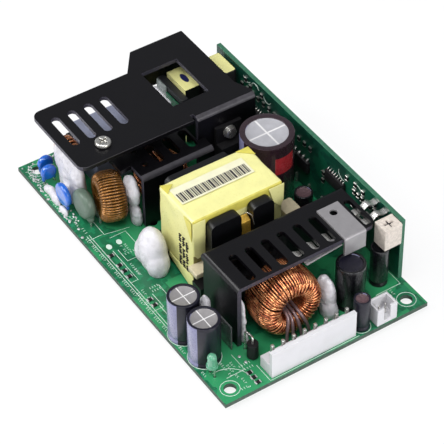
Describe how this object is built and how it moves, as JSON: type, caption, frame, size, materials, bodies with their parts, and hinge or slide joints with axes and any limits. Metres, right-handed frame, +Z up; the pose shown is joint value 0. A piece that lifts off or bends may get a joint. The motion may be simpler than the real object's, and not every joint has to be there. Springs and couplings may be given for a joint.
{
  "type": "open frame power supply",
  "caption": "Open frame switching power supply: bare board with folded black heatsinks, taped transformer, wound inductors, capacitors, a standing control card and board headers.",
  "frame": {"origin": "centre of the board's outline, at the height of the cut lead tips that the part stands on", "axes": "+X towards the output headers, +Y towards the control card, +Z up from the board"},
  "size_m": [0.127, 0.0762, 0.0353],
  "materials": {
    "circuit_board": "satin",
    "solder": "satin",
    "black_sheet": "satin",
    "plated_steel": "satin",
    "tinned_metal": "gloss",
    "ferrite": "matte",
    "yellow_tape": "satin",
    "label_paper": "matte",
    "bobbin_black": "matte",
    "maroon_sleeve": "gloss",
    "dark_sleeve": "gloss",
    "copper_wire": "gloss",
    "gold_wire": "gloss",
    "nylon": "satin",
    "black_moulding": "matte",
    "blue_dip": "gloss",
    "green_dip": "satin",
    "dark_dip": "satin",
    "grey_case": "satin",
    "cream_case": "satin",
    "beige_case": "satin",
    "silicone": "satin",
    "green_lens": "gloss",
    "clear_film": "satin"
  },
  "bodies": {
    "root": {"main_board": "circuit_board", "solder_joints": "solder", "board_surface_parts": "black_moulding", "control_card": "circuit_board", "control_card_pins": "tinned_metal", "control_card_parts": "black_moulding", "voltage_trimmer": "beige_case", "input_heatsink": "black_sheet", "heatsink_screws": "plated_steel", "heatsink_nuts": "plated_steel", "pfc_transistor": "black_moulding", "switch_transistor": "black_moulding", "bracket_heatsink": "black_sheet", "bridge_rectifier": "black_moulding", "output_heatsink": "black_sheet", "clip_plate": "plated_steel", "output_rectifier_1": "black_moulding", "output_rectifier_2": "black_moulding", "heatsink_straps": "tinned_metal", "output_inductor_core": "ferrite", "output_inductor_winding": "copper_wire", "transformer_core": "ferrite", "transformer_winding": "yellow_tape", "transformer_bobbin": "bobbin_black", "transformer_label": "label_paper", "bulk_capacitor": "maroon_sleeve", "output_capacitor_1": "dark_sleeve", "output_capacitor_2": "dark_sleeve", "filter_capacitor": "dark_sleeve", "fan_capacitor": "dark_sleeve", "control_capacitor": "dark_sleeve", "card_capacitor": "dark_sleeve", "cream_capacitor": "cream_case", "status_light": "green_lens", "output_header_housing": "nylon", "output_header_pins": "tinned_metal", "fan_header_housing": "nylon", "fan_header_pins": "tinned_metal", "ac_inlet_housing": "nylon", "ac_inlet_pins": "tinned_metal", "line_fuse": "black_moulding", "common_mode_choke_core": "ferrite", "common_mode_choke_winding": "gold_wire", "input_choke_core": "ferrite", "input_choke_winding": "copper_wire", "film_capacitor": "grey_case", "line_capacitor_1": "blue_dip", "line_capacitor_2": "blue_dip", "line_capacitor_3": "blue_dip", "varistor": "green_dip", "inrush_thermistor": "dark_dip", "auxiliary_transformer_core": "ferrite", "auxiliary_transformer_winding": "yellow_tape", "card_inductor": "yellow_tape", "output_diode": "black_moulding", "optocouplers": "black_moulding", "boost_inductor_core": "ferrite", "boost_inductor_winding": "copper_wire", "silicone_beads": "silicone", "insulation_sheet": "clear_film"}
  },
  "joints": []
}
